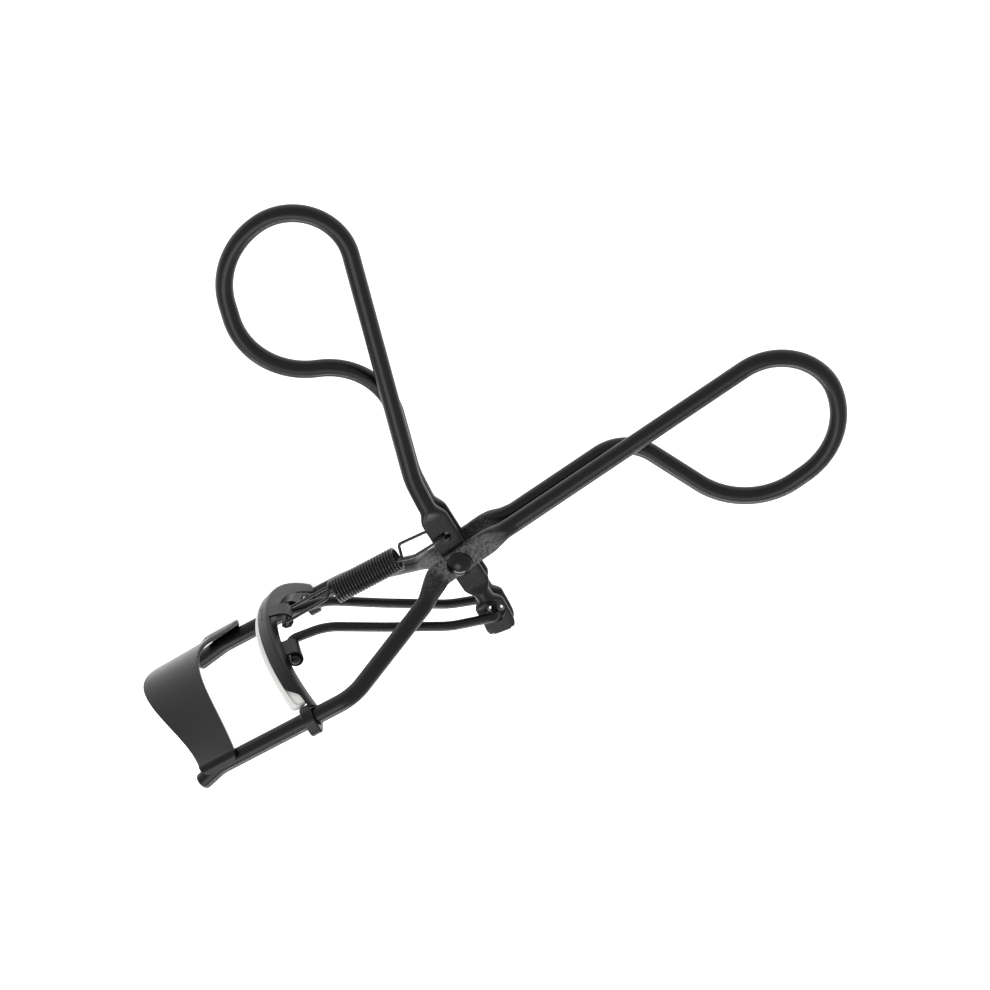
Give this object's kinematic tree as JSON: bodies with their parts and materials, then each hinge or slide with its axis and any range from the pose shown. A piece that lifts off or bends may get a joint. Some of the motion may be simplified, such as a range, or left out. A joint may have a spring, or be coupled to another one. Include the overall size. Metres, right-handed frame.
{
  "type": "eyelash curler",
  "caption": "Hand-held eyelash curler: crossed bent-wire handles with finger loops close a padded clamp on a curved plate through a link and a return spring.",
  "frame": {"origin": "centre of the bounding box's underside, with the curler lying on its side", "axes": "+X from the rivet to the fixed finger loop, against the clamp's closing slide; +Y from the rivet to the moving finger loop; +Z along the rivet, across the width of the cage"},
  "size_m": [0.1081, 0.0748, 0.0396],
  "materials": {
    "black_coating": "satin black coating over bent steel wire and pressed sheet",
    "black_plate": "smooth satin black coating over pressed steel sheet",
    "silicone": "soft matt white silicone",
    "spring_wire": "oiled black spring wire"
  },
  "bodies": {
    "frame": {"frame_handle": "black_coating", "top_plate": "black_plate", "pivot_rivet": "black_coating"},
    "handle": {"moving_handle": "black_coating"},
    "clamp": {"clamp_bar": "black_coating", "pad": "silicone"},
    "link": {"link_wire": "black_coating"},
    "spring_front": {"spring_coil": "spring_wire"},
    "spring_rear": {"spring_rear_hook": "spring_wire"}
  },
  "joints": [
    {"name": "handle_pivot", "type": "hinge", "parent": "frame", "child": "handle", "pos_m": [-0.00475, -0.02152, 0.0198], "axis": [0, 0, -1], "range_deg": [0, 50], "stiffness_Nm_per_rad": 0.1, "springref_deg": -5.73},
    {"name": "clamp_slide", "type": "slide", "parent": "frame", "child": "clamp", "axis": [-1, 0, 0], "range_m": [0, 0.00908]},
    {"name": "link_swing", "type": "hinge", "parent": "clamp", "child": "link", "pos_m": [-0.03055, -0.01932, 0.0198], "axis": [0, 0, 1], "range_deg": [0, 6.1]},
    {"name": "spring_swing", "type": "hinge", "parent": "clamp", "child": "spring_front", "pos_m": [-0.03065, -0.01762, 0.0198], "axis": [0, 0, -1], "range_deg": [0, 2.38]},
    {"name": "spring_stretch", "type": "slide", "parent": "spring_front", "child": "spring_rear", "axis": [1, 0, 0], "range_m": [0, 0.01213], "deforming": ["spring_coil", "spring_rear_hook"]}
  ],
  "couplings": [
    {"joint": "clamp_slide", "follows": "handle_pivot", "m_per_rad": 0.010405},
    {"joint": "link_swing", "follows": "handle_pivot", "ratio": 0.122},
    {"joint": "spring_swing", "follows": "handle_pivot", "ratio": 0.0475},
    {"joint": "spring_stretch", "follows": "handle_pivot", "m_per_rad": 0.0139}
  ]
}
